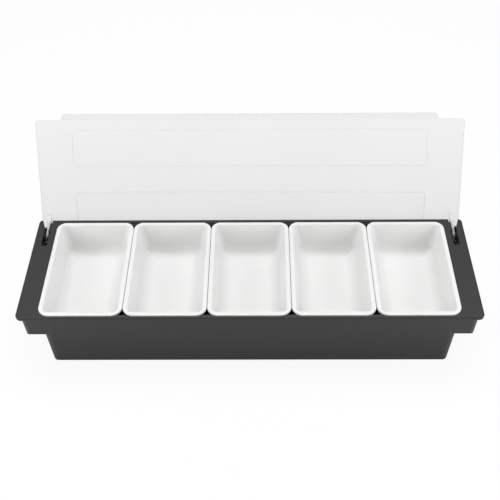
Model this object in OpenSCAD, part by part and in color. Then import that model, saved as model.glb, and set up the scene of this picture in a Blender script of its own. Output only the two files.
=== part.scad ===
// Bar condiment caddy: a moulded tray with grip wings, a row of lift-out inserts
// and a clear flip lid on two hinge arms, shown with the lid open.
// X runs along the tray, Y to the hinge side, Z up; the origin is on the underside.

/* [Tray] */
// Length of the flange from end to end
flange_length = 492; // [484:1:520]
// Depth of the flange from front to hinge side
flange_width = 153; // [152:1:170]
// Height of the flange top above the table
tray_height = 79; // [72:1:100]
// Thickness of the flange
flange_thickness = 4; // [3:0.5:6]
// Plan radius of the flange corners
flange_corner = 6.5; // [4:0.5:8]
// Radius of the flange's rolled upper edge
flange_edge = 1.6; // [0.8:0.2:2.4]
// Set-in of the front wall from the flange's front edge
front_inset = 2; // [1.5:0.5:4]
// Set-in of the back wall from the flange's back edge
back_inset = 5.5; // [4:0.5:8]
// Set-in of the end walls from the flange's ends
end_inset = 21.8; // [20:0.1:22.4]
// Thickness of the outer walls
wall = 2.5; // [2:0.1:3]
// Thickness of the floor
floor_thickness = 3; // [2:0.5:5]
// Draft of the tray walls in degrees
tray_draft = 4; // [2:0.5:6]
// Radius of the tray's upright corners
tray_corner = 13; // [10:0.5:16]
// Radius of the edge round the underside
bottom_round = 2; // [1.5:0.5:5]

/* [Grip wings] */
// Set-in of the wing's end wall from the flange's end
wing_inset = 3.8; // [3:0.1:5]
// Depth of the wings below the flange top
wing_drop = 32; // [27:0.5:34]
// Set-back of the wing's front and back walls from the tray walls
wing_setback = 0.3; // [0.2:0.1:1.5]
// Wall of the wings
wing_wall = 2.2; // [1.8:0.1:3]
// Draft of the wing walls in degrees
wing_draft = 4; // [3:0.5:5]
// Radius of the wing's upright corners
wing_corner = 8; // [5:0.5:9]
// Radius of the edge round the wing's bottom
wing_round = 3; // [1.5:0.5:4]

/* [Inserts] */
// Plain flange between the row of rims and each end
end_land = 23; // [22:0.1:24]
// Plain flange in front of the rims
front_land = 3.3; // [2.6:0.1:4]
// Plain flange behind the rims
back_land = 6.3; // [6:0.1:8]
// Gap between neighbouring rims
rim_gap = 0.5; // [0.4:0.1:1.5]
// Width of the rim's flat
rim_width = 4.5; // [3.5:0.1:6]
// Thickness of the rim
rim_thickness = 2.2; // [1.6:0.1:3]
// Height of the rim above the flange
rim_proud = 1.2; // [0.8:0.1:1.4]
// Plan radius of the rim corners
rim_corner = 12; // [9:0.5:13]
// Radius of the rim's upper edges
rim_edge = 0.8; // [0.4:0.1:1]
// Wall of an insert
insert_wall = 1.7; // [1.2:0.1:2]
// Depth of the inside of an insert
insert_depth = 34; // [28:1:38]
// Draft of the insert walls in degrees
insert_draft = 15; // [12:0.5:18]
// Radius between the walls and floor of an insert
insert_round = 13; // [8:0.5:15]
// Radius of an insert's inner upright edges
insert_corner = 5.5; // [4:0.5:7]
// Play between the rims and the recess they sit in
recess_play = 0.8; // [0.4:0.1:1]
// Play between the insert walls and the opening in the flange
opening_play = 0.6; // [0.4:0.1:1]

/* [Lid] */
// Angle that the open lid leans back past upright
lid_lean = 27; // [20:1:30]
// Thickness of the lid
lid_thickness = 2.5; // [2:0.1:3.5]
// Distance of the lid's underside from the hinge axis
lid_offset = 22.6; // [22.4:0.1:26]
// Plan radius of the lid corners
lid_corner = 3.5; // [2:0.5:6]
// Set-in of the lid's ends from the flange's ends
lid_inset = 1.5; // [0.5:0.1:3]
// Reach of the closed lid past the flange's front edge
lid_overhang = 0.2; // [-1:0.1:4]
// Set-in of the thumb lip's ends from the lid's ends
lip_inset = 30.5; // [26:0.5:56]
// Reach of the thumb lip
lip_reach = 7; // [5:0.5:12]
// Upward flare of the thumb lip in degrees
lip_flare = 20; // [10:1:35]
// Plan radius of the lip's ends
lip_corner = 4.5; // [2:0.5:5]
// Set-in of the raised panels from the lid's ends
panel_inset = 40.3; // [36:0.1:56]
// Margin between the lid's front edge and the front panel
panel_margin = 11.4; // [8:0.2:14]
// Plain strip between the two panels
panel_spacing = 29.8; // [24:0.2:32]
// Margin between the rear panel and the lid's back edge
tail_margin = 19; // [18:0.1:24]
// Height of the raised panels
panel_rise = 1.2; // [0.6:0.1:1.6]
// Plan radius of the panel corners
panel_corner = 4; // [2:0.5:6]

/* [Hinge] */
// Distance of the hinge axis from the flange's back edge
pivot_inset = 20.7; // [20:0.1:21]
// Depth of the hinge axis below the flange top
pivot_depth = 8.6; // [8.4:0.1:9]
// Radius of the eye at the end of a lid arm
eye_radius = 6; // [5:0.1:6.5]
// Thickness of an arm at its eye
arm_thickness = 2.4; // [2:0.1:2.4]
// Thickness of an arm where it joins the lid
arm_root_thickness = 7; // [5:0.1:7]
// Start of the arm's root ahead of the hinge axis
arm_front = 23; // [20:0.2:26]
// End of the arm's root ahead of the hinge axis
arm_back = 14; // [12:0.2:15]
// Set-in of the slots from the flange's ends
slot_inset = 8.5; // [8:0.1:9]
// Width of the slots in the flange
slot_width = 7.3; // [7:0.1:7.6]
// Length of the slots from the flange's back edge
slot_length = 41.9; // [40:0.1:50]
// Width of a slot where it narrows behind the hinge
throat_width = 4.9; // [4.8:0.1:5.4]
// Length of the narrow part with the notch behind it
throat_length = 19.1; // [16:0.1:20]
// Height of the slot's bottom edge in the back wall, above the hinge axis
throat_rise = -0.4; // [-4:0.1:-0.3]
// Width of the notch in the flange's back edge
notch_width = 12.2; // [11:0.1:13]
// Depth of the notch in the flange's back edge
notch_depth = 5.5; // [4:0.1:6]
// Radius of a hinge pin
pin_radius = 3; // [2:0.1:3.4]
// Radius of a hinge pin's domed shoulder
pin_head_radius = 6; // [4.5:0.1:6]
// Radial running clearance of the lid's eyes on the pins
pin_clearance = 0.05; // [0.02:0.01:0.1]
// Radial grip of the tray on the pins
pin_grip = 0.02; // [0.01:0.01:0.03]

/* [Hidden] */
$fn = 64;
charcoal = [0.17, 0.17, 0.175];
white = [0.95, 0.95, 0.95];
clear = [0.85, 0.88, 0.9, 0.4];
black = [0.05, 0.05, 0.055];
insert_count = 5;
over = 1;
fit_gap = 0.3;
edge_slack = 0.1;
half_length = flange_length / 2;
half_width = flange_width / 2;

// tray walls at the underside of the flange
tray_half_x = half_length - end_inset;
tray_front = half_width - front_inset;
tray_back = half_width - back_inset;
tray_half_y = (tray_front + tray_back) / 2;
tray_mid_y = (tray_back - tray_front) / 2;
wall_height = tray_height - flange_thickness;

// wings
wing_half_x = half_length - wing_inset;
wing_half_y = tray_half_y - wing_setback;
wing_depth = wing_drop - flange_thickness;
wing_inner_x = wing_half_x - wing_wall;
wing_bottom = tray_height - wing_drop;
wing_root_x = tray_half_x - wing_depth * tan(tray_draft) + fit_gap;

// inserts and the opening that takes them
insert_pitch = (flange_length - 2 * end_land + rim_gap) / insert_count;
rim_length = flange_width - front_land - back_land;
row_offset = (back_land - front_land) / 2;
rim_half_x = (insert_pitch - rim_gap) / 2;
rim_half_y = rim_length / 2;
cup_half_x = rim_half_x - rim_width;
cup_half_y = rim_half_y - rim_width;
row_half_x = insert_pitch * (insert_count - 1) / 2 + rim_half_x;
recess_depth = rim_thickness - rim_proud;
opening_half_x = row_half_x - rim_width + insert_wall + opening_play;
opening_half_y = rim_half_y - rim_width + insert_wall + opening_play;
opening_corner = insert_corner + insert_wall + opening_play;

// hinge, slots and arms; the lid is drawn closed with the hinge axis as origin
pivot_y = half_width - pivot_inset;
pivot_z = tray_height - pivot_depth;
lid_turn = 90 + lid_lean;
slot_outer = half_length - slot_inset;
slot_inner = slot_outer - slot_width;
slot_front = half_width - slot_length;
slot_bottom = pivot_z - eye_radius - over;
slot_chamfer = 3.2;
throat_inner = slot_outer - throat_width;
throat_front = half_width - throat_length;
throat_bottom = pivot_z + throat_rise;
arm_inner = throat_inner + fit_gap;
arm_outer = arm_inner + arm_thickness;
root_outer = arm_inner + arm_root_thickness;
arm_chin = 210;
brace_length = 14.4;
brace_width = 1.6;
brace_height = 1.4;
pin_end_x = wing_inner_x + over / 2;

// lid; its tail reaches the back wall, which stops the open lid
lid_front = flange_width - pivot_inset + lid_overhang;
tail_reach = pivot_y + lid_offset * cos(lid_lean) - tray_back - fit_gap
  + (wall_height - pivot_z + lid_offset * sin(lid_lean)) * tan(tray_draft);
lid_tail = tail_reach / (sin(lid_lean) - tan(tray_draft) * cos(lid_lean));
lid_half_x = half_length - lid_inset;
panel_width = (lid_front + lid_tail - panel_margin - panel_spacing - tail_margin) / 2;

// a flat shape drawn in X and Z, drawn out along Y
module along_y(length) {
  rotate([90, 0, 0]) linear_extrude(length, center = true) children();
}

// a flat shape drawn in Y and Z, drawn out along X
module along_x(length) {
  rotate([90, 0, 90]) linear_extrude(length, center = true) children();
}

// rectangle with round corners about the middle
module round_rect(half_x, half_y, r) {
  square([2 * half_x, 2 * (half_y - r)], center = true);
  square([2 * (half_x - r), 2 * half_y], center = true);
  for (sx = [-1, 1]) {
    for (sy = [-1, 1]) {
      translate([sx * (half_x - r), sy * (half_y - r)]) circle(r);
    }
  }
}

// section of a slab, flat below and with both upper edges rounded
module slab_section(half, thickness, r) {
  translate([-half, 0]) square([2 * half, thickness - r]);
  translate([-half + r, 0]) square([2 * (half - r), thickness]);
  for (s = [-1, 1]) {
    translate([s * (half - r), thickness - r]) circle(r);
  }
}

// flat slab with round corners and rounded upper edges
module slab(half_x, half_y, thickness, corner, edge) {
  intersection() {
    linear_extrude(thickness) round_rect(half_x, half_y, corner);
    along_y(2 * half_y + over) slab_section(half_x, thickness, edge);
    along_x(2 * half_x + over) slab_section(half_y, thickness, edge);
  }
}

// section of a drafted cup that hangs down from zero and has rounded bottom edges
module cup_section(half, depth, draft, r) {
  wall_end = depth - r * (1 - sin(draft));
  wall_x = half - wall_end * tan(draft);
  centre_x = wall_x - r * cos(draft);
  polygon([[-half, 0], [half, 0], [wall_x, -wall_end], [centre_x, r - depth], [centre_x, -depth],
    [-centre_x, -depth], [-centre_x, r - depth], [-wall_x, -wall_end]]);
  for (s = [-1, 1]) {
    translate([s * centre_x, r - depth]) circle(r);
  }
}

// drafted cup whose upright edges lean with its walls and are rounded to r
module cup(half_x, half_y, depth, draft, bottom, r) {
  lean = atan(tan(draft) * sqrt(2));
  axis_in = r / cos(draft);
  corner_start = 0.75 * r;
  difference() {
    intersection() {
      along_y(2 * half_y + over) cup_section(half_x, depth, draft, bottom);
      along_x(2 * half_x + over) cup_section(half_y, depth, draft, bottom);
    }
    for (sx = [-1, 1]) {
      for (sy = [-1, 1]) {
        translate([sx * (half_x - axis_in), sy * (half_y - axis_in), 0])
          rotate([0, 0, atan2(sy, sx)])
            rotate([0, lean, 0])
              difference() {
                translate([corner_start, -2 * r, -2 * depth]) cube([3 * r, 4 * r, 3 * depth]);
                translate([0, 0, -2 * depth - over]) cylinder(h = 3 * depth + 2 * over, r = r);
              }
      }
    }
  }
}

// drafted tub with tapering round corners, hanging down from zero
module tub(half_x, half_y, depth, draft, r) {
  core_x = half_x - r;
  core_y = half_y - r;
  taper = depth * tan(draft);
  along_y(2 * core_y)
    polygon([[-half_x, 0], [half_x, 0], [half_x - taper, -depth], [taper - half_x, -depth]]);
  along_x(2 * core_x)
    polygon([[-half_y, 0], [half_y, 0], [half_y - taper, -depth], [taper - half_y, -depth]]);
  for (mx = [0, 1]) {
    for (my = [0, 1]) {
      mirror([mx, 0, 0])
        mirror([0, my, 0])
          translate([core_x, core_y, 0])
            rotate_extrude(angle = 90) polygon([[0, 0], [r, 0], [r - taper, -depth], [0, -depth]]);
    }
  }
}

// section that rounds the bottom edges of a tub and leaves its walls alone
module edge_section(half, depth, draft, r) {
  side_x = half - (depth - r) * tan(draft) + edge_slack;
  polygon([[-half - over, over], [half + over, over], [side_x, r - depth], [side_x - r, -depth],
    [r - side_x, -depth], [-side_x, r - depth]]);
  for (s = [-1, 1]) {
    translate([s * (side_x - r), r - depth]) circle(r);
  }
}

// drafted tub with rounded bottom edges
module round_tub(half_x, half_y, depth, draft, bottom, r) {
  intersection() {
    tub(half_x, half_y, depth, draft, r);
    along_y(2 * half_y + over) edge_section(half_x, depth, draft, bottom);
    along_x(2 * half_x + over) edge_section(half_y, depth, draft, bottom);
  }
}

// the whole outside of the tray before it is hollowed
module tray_outside() {
  translate([0, 0, wall_height]) slab(half_length, half_width, flange_thickness, flange_corner, flange_edge);
  translate([0, tray_mid_y, wall_height]) {
    round_tub(tray_half_x, tray_half_y, wall_height, tray_draft, bottom_round, tray_corner);
    round_tub(wing_half_x, wing_half_y, wing_depth, wing_draft, wing_round, wing_corner);
  }
}

// main space of the tray, the opening above it and the recess for the rims
module well() {
  translate([0, tray_mid_y, wall_height])
    round_tub(tray_half_x - wall, tray_half_y - wall, wall_height - floor_thickness, tray_draft,
      bottom_round, tray_corner - wall);
  translate([0, -row_offset, wall_height - over])
    linear_extrude(flange_thickness) round_rect(opening_half_x, opening_half_y, opening_corner);
  translate([0, -row_offset, tray_height - recess_depth])
    linear_extrude(recess_depth + over)
      round_rect(row_half_x + recess_play, rim_half_y + recess_play, rim_corner + recess_play);
}

// space inside one wing, open at the bottom as a finger grip
module wing_hollow() {
  hollow_top = tray_half_x + fit_gap;
  intersection() {
    translate([0, tray_mid_y, wall_height])
      tub(wing_inner_x, wing_half_y - wing_wall, wing_depth + over, wing_draft, wing_corner - wing_wall);
    along_y(flange_width)
      polygon([[hollow_top, wall_height], [half_length, wall_height], [half_length, wing_bottom - over],
        [wing_root_x, wing_bottom - over], [wing_root_x, wing_bottom]]);
  }
}

// slot for one lid arm: wide at the hinge, narrow and flared behind it, with a notch at the back
module arm_slot() {
  notch_front = half_width - notch_depth;
  eye_back = pivot_y + eye_radius + over;
  translate([0, 0, wall_height - over])
    linear_extrude(flange_thickness + 2 * over)
      polygon([[slot_inner, slot_front], [slot_outer, slot_front],
        [slot_outer, eye_back], [slot_inner + notch_width, half_width + over],
        [slot_inner, half_width + over],
        [slot_inner, notch_front], [throat_inner, notch_front], [throat_inner, throat_front],
        [slot_inner, throat_front]]);
  translate([slot_inner, slot_front, slot_bottom])
    cube([slot_width, eye_back - slot_front, wall_height - slot_bottom]);
  translate([throat_inner, pivot_y, throat_bottom])
    cube([throat_width, half_width + over - pivot_y, wall_height - throat_bottom]);
  translate([slot_inner + slot_width / 2, slot_front, tray_height])
    rotate([45, 0, 0]) cube([slot_width - 2 * fit_gap, slot_chamfer, slot_chamfer], center = true);
}

// boss on the wing's end wall that carries one hinge pin
module pin_boss() {
  translate([slot_outer - over, pivot_y, pivot_z])
    rotate([0, 90, 0]) cylinder(h = wing_inner_x + over - slot_outer, r = eye_radius);
}

// blind hole for one hinge pin in its boss
module pin_hole() {
  translate([slot_outer - over, pivot_y, pivot_z])
    rotate([0, 90, 0]) cylinder(h = pin_end_x + fit_gap + over - slot_outer, r = pin_radius - pin_grip);
}

// moulded tray with its flange, deep well, grip wings and hinge slots
module tray() {
  color(charcoal)
    difference() {
      union() {
        difference() {
          tray_outside();
          well();
          for (side = [0, 1]) {
            mirror([side, 0, 0]) wing_hollow();
          }
        }
        for (side = [0, 1]) {
          mirror([side, 0, 0]) pin_boss();
        }
      }
      for (side = [0, 1]) {
        mirror([side, 0, 0]) {
          arm_slot();
          pin_hole();
        }
      }
    }
}

// one lift-out insert, counted from the left
module insert(place) {
  x = (place - (insert_count + 1) / 2) * insert_pitch;
  color(white)
    translate([x, -row_offset, tray_height + rim_proud])
      difference() {
        union() {
          translate([0, 0, -rim_thickness]) slab(rim_half_x, rim_half_y, rim_thickness, rim_corner, rim_edge);
          translate([0, 0, -rim_thickness / 2])
            cup(cup_half_x + insert_wall, cup_half_y + insert_wall,
              insert_depth + insert_wall - rim_thickness / 2, insert_draft,
              insert_round + insert_wall, insert_corner + insert_wall);
        }
        translate([0, 0, over / 100])
          cup(cup_half_x, cup_half_y, insert_depth, insert_draft, insert_round, insert_corner);
      }
}

// lid plate with two raised panels, hollow underneath
module lid_plate() {
  panel_half_x = lid_half_x - panel_inset;
  panel_half_y = panel_width / 2;
  plate_half_y = (lid_front + lid_tail) / 2;
  translate([0, 0, lid_offset])
    difference() {
      union() {
        translate([0, lid_tail - plate_half_y, 0])
          linear_extrude(lid_thickness) round_rect(lid_half_x, plate_half_y, lid_corner);
        for (row = [0, 1]) {
          translate([0, panel_margin + panel_half_y + row * (panel_width + panel_spacing) - lid_front, 0])
            slab(panel_half_x, panel_half_y, lid_thickness + panel_rise, panel_corner, panel_rise / 2);
        }
      }
      for (row = [0, 1]) {
        translate([0, panel_margin + panel_half_y + row * (panel_width + panel_spacing) - lid_front, -over])
          linear_extrude(panel_rise + over)
            round_rect(panel_half_x - lid_thickness / 2, panel_half_y - lid_thickness / 2,
              panel_corner - lid_thickness / 2);
      }
    }
}

// flared lip along the front edge
module thumb_lip() {
  translate([0, -lid_front, lid_offset])
    rotate([-lip_flare, 0, 0])
      linear_extrude(lid_thickness)
        difference() {
          translate([0, over / 2]) round_rect(lid_half_x - lip_inset, lip_reach + over / 2, lip_corner);
          translate([-half_length, over]) square([flange_length, 2 * lip_reach]);
        }
}

// hinge arm with its eye, thicker towards the lid, and the brace at its root
module lid_arm() {
  intersection() {
    along_x(flange_length)
      union() {
        circle(eye_radius);
        polygon([[-arm_front, lid_offset + over], [eye_radius * cos(arm_chin), eye_radius * sin(arm_chin)],
          [eye_radius * cos(lid_turn), eye_radius * sin(lid_turn)], [-arm_back, lid_offset + over]]);
      }
    along_y(flange_length)
      polygon([[arm_inner, -eye_radius - over], [arm_inner, lid_offset + over],
        [root_outer, lid_offset + over], [arm_outer, eye_radius + over / 2],
        [arm_outer, -eye_radius - over]]);
  }
  translate([arm_inner + arm_root_thickness / 2, -arm_front, lid_offset - brace_height])
    rotate([0, 0, 45])
      translate([-brace_length / 2, -brace_width / 2, 0])
        cube([brace_length, brace_width, brace_height + over]);
}

// clear flip lid, turned back about its hinge axis to the open rest
module lid() {
  color(clear)
    translate([0, pivot_y, pivot_z])
      rotate([-lid_turn, 0, 0])
        difference() {
          union() {
            lid_plate();
            thumb_lip();
            for (side = [0, 1]) {
              mirror([side, 0, 0]) lid_arm();
            }
          }
          along_x(flange_length) circle(pin_radius + pin_clearance);
        }
}

// hinge pin pressed into its boss, with a domed shoulder beside the arm's eye
module hinge_pin() {
  pin_tip_x = arm_inner - fit_gap;
  shoulder = slot_outer - arm_outer - fit_gap;
  dome_radius = 2.5 * pin_head_radius;
  color(black)
    translate([0, pivot_y, pivot_z])
      rotate([0, 90, 0]) {
        translate([0, 0, pin_tip_x]) cylinder(h = pin_end_x - pin_tip_x, r = pin_radius);
        translate([0, 0, slot_outer])
          mirror([0, 0, 1])
            rotate_extrude()
              intersection() {
                square([pin_head_radius, shoulder]);
                translate([0, shoulder - dome_radius]) circle(dome_radius);
              }
      }
}

tray();
insert(1);  // insert_1
insert(2);  // insert_2
insert(3);  // insert_3
insert(4);  // insert_4
insert(5);  // insert_5
lid();
mirror([1, 0, 0]) hinge_pin();  // hinge_pin_left
hinge_pin();  // hinge_pin_right
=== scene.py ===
import math
import bmesh
import bpy
from mathutils import Matrix, Vector

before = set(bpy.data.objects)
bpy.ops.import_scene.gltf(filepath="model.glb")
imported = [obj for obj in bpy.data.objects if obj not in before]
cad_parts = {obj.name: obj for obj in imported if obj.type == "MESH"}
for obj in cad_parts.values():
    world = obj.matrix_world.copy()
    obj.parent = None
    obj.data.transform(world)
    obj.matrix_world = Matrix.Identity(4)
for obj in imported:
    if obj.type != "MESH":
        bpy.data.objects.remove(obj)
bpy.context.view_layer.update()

# Camera: solved from the flange corners, the rim gaps and the wall edges.
CAMERA_AT = (0.0114, -0.6851, 0.7703)
YAW, PITCH, ROLL = math.radians(-0.9), math.radians(44.22), math.radians(-0.8)
FOCAL_PIXELS, IMAGE_PIXELS, SENSOR_MM = 881.0, 500.0, 36.0

# The open lid leans back from upright, and its plate's outer side faces this way.
LID_LEAN = math.radians(27.0)
LID_NORMAL = (0.0, math.cos(LID_LEAN), -math.sin(LID_LEAN))

# Painted shade: the plate gets more alpha, so it reads darker, from its top down, between
# these heights.
PLATE_LOW, PLATE_HIGH = 0.07, 0.21
PAINTED_SHADE_BOTTOM, PAINTED_SHADE_TOP = 0.165, 0.075
# Painted shade on the cut edges: up to this much more alpha, and a darker grey, where the
# surface turns from the plate.
EDGE_PAINTED_SHADE = 0.5
EDGE_TURNED, EDGE_FACING = 0.35, 0.995

# Colours are linear.
CHARCOAL = (0.021, 0.021, 0.0215)
INSERT_WHITE = (0.82, 0.82, 0.815)
LID_GREY = (0.72, 0.725, 0.73)
PIN_BLACK = (0.02, 0.02, 0.021)
FLOOR_DARK, FLOOR_LIGHT = (0.90, 0.90, 0.90), (0.93, 0.93, 0.93)
WHITE = (1.0, 1.0, 1.0, 1.0)

# Most of a noise texture's values lie between these.
NOISE_LOW, NOISE_HIGH = 0.3, 0.7

# How much of the floor's white is seen directly and in reflections.
FLOOR_SEEN, FLOOR_REFLECTED = 0.9, 0.15
FLOOR_HALF = 6.0

# The world's light on the object, and the lamps: place, aim, size and power.
AMBIENT = 0.27
LAMPS = {
    "overhead": ((0.0, 0.45, 1.45), (0.0, 0.0, 0.05), (1.8, 0.9), 17.5),
    "front": ((0.0, -1.5, 0.9), (0.0, 0.0, 0.05), (1.8, 0.8), 0.8),
    "left": ((-0.72, -0.4, 0.3), (-0.2, 0.0, 0.05), (0.6, 0.5), 3.2),
    "right": ((0.72, -0.4, 0.3), (0.2, 0.0, 0.05), (0.6, 0.5), 3.2),
}

# Sockets of the Mix node in its colour mode.
MIX_FACTOR, MIX_A, MIX_B, MIX_COLOR = 0, 6, 7, 2


class Sock:
    """One value in a shader; arithmetic on it adds the maths nodes."""

    def __init__(self, graph, out):
        self.graph, self.out = graph, out

    def _op(self, kind, a, b):
        return self.graph.node("ShaderNodeMath", {"operation": kind}, {0: a, 1: b})

    def __add__(self, b): return self._op("ADD", self, b)
    def __mul__(self, b): return self._op("MULTIPLY", self, b)
    __radd__ = __add__
    __rmul__ = __mul__

    def absolute(self): return self._op("ABSOLUTE", self, 0.0)


def with_alpha(color):
    return (*color, 1.0) if isinstance(color, tuple) else color


def scaled(color, k):
    return tuple(c * k for c in color)


class Graph:
    """The nodes of one material or of the world."""

    def __init__(self, tree):
        self.tree = tree

    def plug(self, value, socket):
        if isinstance(value, Sock):
            self.tree.links.new(value.out, socket)
        else:
            socket.default_value = value

    def node(self, kind, props=None, ins=None, out=0):
        n = self.tree.nodes.new(kind)
        for key, value in (props or {}).items():
            setattr(n, key, value)
        for key, value in (ins or {}).items():
            self.plug(value, n.inputs[key])
        return Sock(self, n.outputs[out])

    def ray(self, kind):
        return self.node("ShaderNodeLightPath", out="Is %s Ray" % kind)

    def spread(self, value, low, high, to_low=0.0, to_high=1.0):
        return self.node("ShaderNodeMapRange", {"clamp": True},
                         {"Value": value, "From Min": low, "From Max": high,
                          "To Min": to_low, "To Max": to_high}, "Result")

    def vary(self, noise, to_low=0.0, to_high=1.0):
        return self.spread(noise, NOISE_LOW, NOISE_HIGH, to_low, to_high)


class Mat(Graph):
    """A material built node by node around one Principled shader."""

    def __init__(self, name):
        self.m = bpy.data.materials.new(name)
        self.m.use_nodes = True
        super().__init__(self.m.node_tree)
        self.bsdf = self.tree.nodes["Principled BSDF"]
        self.surface = self.tree.nodes["Material Output"].inputs["Surface"]
        self.coord = self.node("ShaderNodeTexCoord", out="Object")
        self.normal = self.node("ShaderNodeTexCoord", out="Normal")

    def noise(self, scale, detail=2.0, roughness=0.5):
        return self.node("ShaderNodeTexNoise", None,
                         {"Vector": self.coord, "Scale": scale, "Detail": detail,
                          "Roughness": roughness}, "Fac")

    def cells(self, scale):
        return self.node("ShaderNodeTexVoronoi", None,
                         {"Vector": self.coord, "Scale": scale}, "Distance")

    def mix(self, factor, a, b):
        return self.node("ShaderNodeMix", {"data_type": "RGBA"},
                         {MIX_FACTOR: factor, MIX_A: with_alpha(a), MIX_B: with_alpha(b)},
                         MIX_COLOR)

    def bump(self, height, distance, strength, normal=None):
        ins = {"Height": height, "Distance": distance, "Strength": strength}
        if normal:
            ins["Normal"] = normal
        return self.node("ShaderNodeBump", None, ins, "Normal")

    def put(self, **inputs):
        for key, value in inputs.items():
            self.plug(with_alpha(value), self.bsdf.inputs[key.replace("_", " ")])
        return self.m


def charcoal_plastic():
    mat = Mat("charcoal_plastic")
    grain = mat.noise(scale=2600.0, detail=3.0, roughness=0.6)
    pits = mat.cells(scale=1500.0)
    cloud = mat.noise(scale=22.0, detail=3.0)
    tone = mat.vary(cloud * 0.6 + grain * 0.4)
    rough = mat.vary(grain * 0.5 + cloud * 0.5, to_low=0.42, to_high=0.54)
    bumped = mat.bump(pits * 0.5 + grain, distance=0.00006, strength=0.55)
    color = mat.mix(tone, scaled(CHARCOAL, 0.9), scaled(CHARCOAL, 1.1))
    return mat.put(Base_Color=color, Roughness=rough, Normal=bumped, Specular_IOR_Level=0.4)


def insert_plastic():
    mat = Mat("insert_plastic")
    cloud = mat.noise(scale=30.0, detail=3.0)
    fine = mat.noise(scale=900.0)
    rough = mat.vary(cloud * 0.6 + fine * 0.4, to_low=0.3, to_high=0.42)
    waves = mat.bump(cloud, distance=0.0006, strength=0.3)
    bumped = mat.bump(fine, distance=0.00002, strength=0.4, normal=waves)
    color = mat.mix(mat.vary(cloud), scaled(INSERT_WHITE, 0.985), INSERT_WHITE)
    return mat.put(Base_Color=color, Roughness=rough, Normal=bumped, Specular_IOR_Level=0.4)


def lid_plastic():
    mat = Mat("lid_plastic")
    facing = mat.node("ShaderNodeVectorMath", {"operation": "DOT_PRODUCT"},
                      {0: mat.normal, 1: LID_NORMAL}, "Value").absolute()
    # Painted shade on the cut edges, where the surface turns from the plate.
    edge_shade = mat.spread(facing, EDGE_TURNED, EDGE_FACING, 1.0, 0.0)
    height = mat.node("ShaderNodeSeparateXYZ", None, {0: mat.coord}, "Z")
    # Painted shade: more alpha towards the plate's bottom.
    bottom_shade = mat.spread(height, PLATE_LOW, PLATE_HIGH, PAINTED_SHADE_BOTTOM, PAINTED_SHADE_TOP)
    cloud = mat.noise(scale=9.0)
    fine = mat.noise(scale=700.0)
    # Alpha carries the painted shade of the edges and of the plate's bottom, plus random
    # cloudiness.
    alpha = edge_shade * EDGE_PAINTED_SHADE + bottom_shade + mat.vary(cloud, to_low=0.0, to_high=0.015)
    rough = mat.vary(cloud * 0.7 + fine * 0.3, to_low=0.08, to_high=0.16)
    grain = mat.bump(fine, distance=0.00001, strength=0.3)
    bumped = mat.bump(cloud, distance=0.0004, strength=0.25, normal=grain)
    # The cut edges get a darker copy of the grey: painted shade.
    color = mat.mix(edge_shade, scaled(LID_GREY, 0.55), LID_GREY)
    return mat.put(Base_Color=color, Alpha=alpha, Roughness=rough, Normal=bumped,
                   Specular_IOR_Level=0.5, IOR=1.49)


def pin_plastic():
    mat = Mat("pin_plastic")
    fine = mat.noise(scale=1800.0, detail=3.0)
    cloud = mat.noise(scale=160.0)
    rough = mat.vary(cloud, to_low=0.18, to_high=0.28)
    bumped = mat.bump(fine, distance=0.00003, strength=0.5)
    color = mat.mix(mat.vary(fine), PIN_BLACK, scaled(PIN_BLACK, 1.8))
    return mat.put(Base_Color=color, Roughness=rough, Normal=bumped)


def floor_material():
    mat = Mat("floor")
    tone = mat.mix(mat.vary(mat.noise(scale=60.0, detail=3.0)), FLOOR_DARK, FLOOR_LIGHT)
    mat.put(Base_Color=tone, Roughness=0.9, Specular_IOR_Level=0.0)
    white = mat.node("ShaderNodeEmission", None, {"Color": WHITE, "Strength": 1.0})
    seen = (mat.ray("Camera") + mat.ray("Transmission")) * FLOOR_SEEN
    shader = Sock(mat, mat.bsdf.outputs["BSDF"])
    blend = mat.node("ShaderNodeMixShader", None,
                     {0: seen + mat.ray("Glossy") * FLOOR_REFLECTED, 1: shader, 2: white})
    mat.plug(blend, mat.surface)
    return mat.m


def dress(names, material):
    for name in names:
        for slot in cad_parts[name].material_slots:
            slot.material = material


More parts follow.
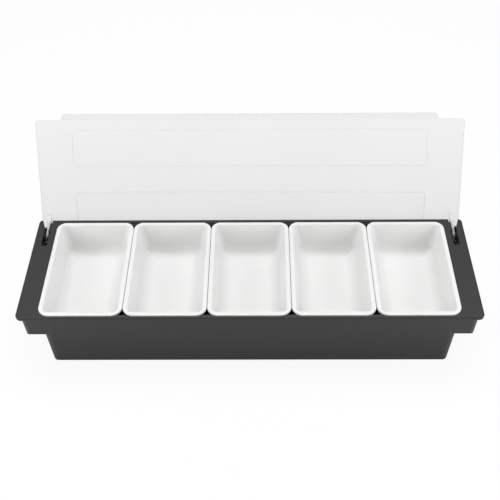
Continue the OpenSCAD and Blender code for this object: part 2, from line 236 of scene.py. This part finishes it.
def add_floor():
    mesh = bpy.data.meshes.new("floor")
    sheet = bmesh.new()
    bmesh.ops.create_grid(sheet, x_segments=1, y_segments=1, size=FLOOR_HALF)
    sheet.to_mesh(mesh)
    sheet.free()
    mesh.materials.append(floor_material())
    floor = bpy.data.objects.new("floor", mesh)
    bpy.context.scene.collection.objects.link(floor)


def add_lamp(name, at, aim, size, power):
    light = bpy.data.lights.new(name, "AREA")
    light.shape = "RECTANGLE"
    light.size, light.size_y = size
    light.energy = power
    lamp = bpy.data.objects.new(name, light)
    lamp.location = at
    lamp.rotation_euler = (Vector(aim) - Vector(at)).to_track_quat("-Z", "Y").to_euler()
    lamp.visible_camera = False
    bpy.context.scene.collection.objects.link(lamp)


def add_world():
    world = bpy.data.worlds.new("studio")
    bpy.context.scene.world = world
    world.use_nodes = True
    sky = Graph(world.node_tree)
    back = sky.tree.nodes["Background"]
    seen = sky.ray("Camera") + sky.ray("Transmission")
    sky.plug(sky.spread(seen, 0.0, 1.0, AMBIENT, 1.0), back.inputs["Strength"])
    sky.plug(WHITE, back.inputs["Color"])


def add_camera():
    forward = Vector((math.sin(YAW) * math.cos(PITCH), math.cos(YAW) * math.cos(PITCH),
                      -math.sin(PITCH)))
    flat_right = Vector((math.cos(YAW), -math.sin(YAW), 0.0))
    flat_up = flat_right.cross(forward)
    right = flat_right * math.cos(ROLL) + flat_up * math.sin(ROLL)
    up = flat_up * math.cos(ROLL) - flat_right * math.sin(ROLL)
    data = bpy.data.cameras.new("camera")
    data.sensor_width = SENSOR_MM
    data.lens = FOCAL_PIXELS / IMAGE_PIXELS * SENSOR_MM
    camera = bpy.data.objects.new("camera", data)
    turn = Matrix((right, up, -forward)).transposed().to_4x4()
    camera.matrix_world = Matrix.Translation(CAMERA_AT) @ turn
    bpy.context.scene.collection.objects.link(camera)
    bpy.context.scene.camera = camera


dress(["tray"], charcoal_plastic())
dress(["insert_%d" % n for n in range(1, 6)], insert_plastic())
dress(["lid"], lid_plastic())
dress(["hinge_pin_left", "hinge_pin_right"], pin_plastic())
add_floor()
add_world()
for lamp_name, lamp in LAMPS.items():
    add_lamp(lamp_name, *lamp)
add_camera()
bpy.context.scene.view_settings.view_transform = "Standard"
